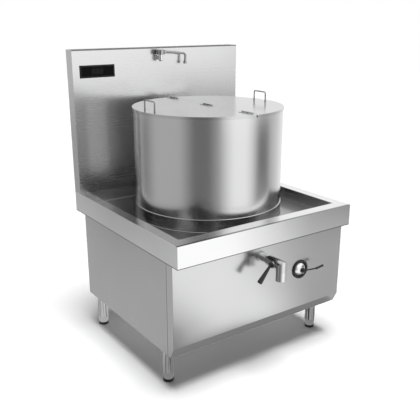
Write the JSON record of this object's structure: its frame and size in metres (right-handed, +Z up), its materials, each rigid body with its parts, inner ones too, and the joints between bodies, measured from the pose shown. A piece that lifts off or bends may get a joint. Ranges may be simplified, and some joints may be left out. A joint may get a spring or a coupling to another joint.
{
  "type": "induction stockpot stove",
  "caption": "Free-standing induction stove with a tall hung stockpot, folding lid, high backsplash with swing tap and display, drain valve and power selector on short legs.",
  "frame": {"origin": "middle of the footprint, on the floor under the soles", "axes": "+X to the stove's right seen from the front, +Y towards the backsplash, +Z up"},
  "size_m": [1, 1.0856, 1.439],
  "materials": {
    "satin_steel": "satin brushed stainless sheet",
    "pot_steel": "smooth satin stainless",
    "polished_steel": "polished stainless fittings",
    "black_plastic": "black moulded plastic",
    "sole_rubber": "black",
    "dark_window": "dark glossy window",
    "circuit_board": "green board with parts",
    "frame_paint": "grey primer",
    "case_zinc": "zinc coated sheet",
    "sink_aluminium": "extruded",
    "copper": "copper",
    "ferrite": "dark grey ceramic",
    "mineral_wool": "white fibre blanket",
    "mica_board": "pressed board",
    "valve_seal": "white sealing plastic",
    "probe_brass": "turned",
    "fan_plastic": "black",
    "switch_plastic": "ivory"
  },
  "bodies": {
    "stove": {"worktop": "satin_steel", "pot_collar": "satin_steel", "pot": "pot_steel", "pot_base_disc": "frame_paint", "front_panel": "satin_steel", "left_panel": "satin_steel", "right_panel": "satin_steel", "back_panel": "satin_steel", "floor_panel": "satin_steel", "frame_rails": "frame_paint", "frame_posts": "frame_paint", "legs": "polished_steel", "backsplash_front": "satin_steel", "backsplash_cover": "satin_steel", "display_frame": "black_plastic", "display_window": "dark_window", "display_board": "circuit_board", "tap_body": "polished_steel", "water_pipe": "copper", "drain_pipe": "polished_steel", "drain_lock_ring": "polished_steel", "valve_body": "polished_steel", "valve_seats": "valve_seal", "drain_spout": "polished_steel", "selector_ring": "black_plastic", "selector_switch": "switch_plastic", "winding_tray": "mica_board", "induction_winding": "copper", "ferrite_bars": "ferrite", "insulation_blanket": "mineral_wool", "temperature_probe": "probe_brass", "winding_support": "frame_paint", "inverter_case": "case_zinc", "heat_sink": "sink_aluminium", "power_board": "circuit_board", "fan_housing": "fan_plastic", "cable_gland": "black_plastic", "panel_screws": "polished_steel"},
    "lid": {"lid_right": "satin_steel", "lid_handle_right": "polished_steel", "lid_hinge_pins": "polished_steel"},
    "lid_flap": {"lid_left": "satin_steel", "lid_handle_left": "polished_steel"},
    "tap_arm": {"tap_head": "polished_steel", "tap_spout": "polished_steel", "aerator": "polished_steel"},
    "drain_handle": {"valve_ball": "polished_steel", "valve_stem": "polished_steel", "valve_lever": "black_plastic"},
    "power_selector": {"selector_knob": "polished_steel", "selector_lever": "black_plastic"},
    "fan": {"fan_rotor": "fan_plastic"},
    "levelling_foot_front_left": {"foot_front_left": "polished_steel", "sole_front_left": "sole_rubber"},
    "levelling_foot_front_right": {"foot_front_right": "polished_steel", "sole_front_right": "sole_rubber"},
    "levelling_foot_back_left": {"foot_back_left": "polished_steel", "sole_back_left": "sole_rubber"},
    "levelling_foot_back_right": {"foot_back_right": "polished_steel", "sole_back_right": "sole_rubber"}
  },
  "joints": [
    {"name": "lid_lift", "type": "slide", "parent": "stove", "child": "lid", "axis": [0, 0, 1], "range_m": [0, 0.12]},
    {"name": "lid_fold", "type": "hinge", "parent": "lid", "child": "lid_flap", "pos_m": [0.006, 0.0536, 1.1899], "axis": [0, 1, 0], "range_deg": [0, 150]},
    {"name": "tap_swing", "type": "hinge", "parent": "stove", "child": "tap_arm", "pos_m": [-0.02, 0.4446, 1.41], "axis": [0, 0, -1], "range_deg": [0, 180]},
    {"name": "drain_turn", "type": "hinge", "parent": "stove", "child": "drain_handle", "pos_m": [0, -0.4824, 0.542], "axis": [-1, 0, 0], "range_deg": [0, 90]},
    {"name": "power_turn", "type": "hinge", "parent": "stove", "child": "power_selector", "pos_m": [0.225, -0.4054, 0.433], "axis": [0, -1, 0], "range_deg": [0, 150]},
    {"name": "fan_spin", "type": "hinge", "parent": "stove", "child": "fan", "pos_m": [-0.311, 0.4096, 0.2958], "axis": [0, 1, 0], "continuous": true},
    {"name": "foot_screw_front_left", "type": "slide", "parent": "stove", "child": "levelling_foot_front_left", "axis": [0, 0, -1], "range_m": [0, 0.02]},
    {"name": "foot_screw_front_right", "type": "slide", "parent": "stove", "child": "levelling_foot_front_right", "axis": [0, 0, -1], "range_m": [0, 0.02]},
    {"name": "foot_screw_back_left", "type": "slide", "parent": "stove", "child": "levelling_foot_back_left", "axis": [0, 0, -1], "range_m": [0, 0.02]},
    {"name": "foot_screw_back_right", "type": "slide", "parent": "stove", "child": "levelling_foot_back_right", "axis": [0, 0, -1], "range_m": [0, 0.02]}
  ]
}
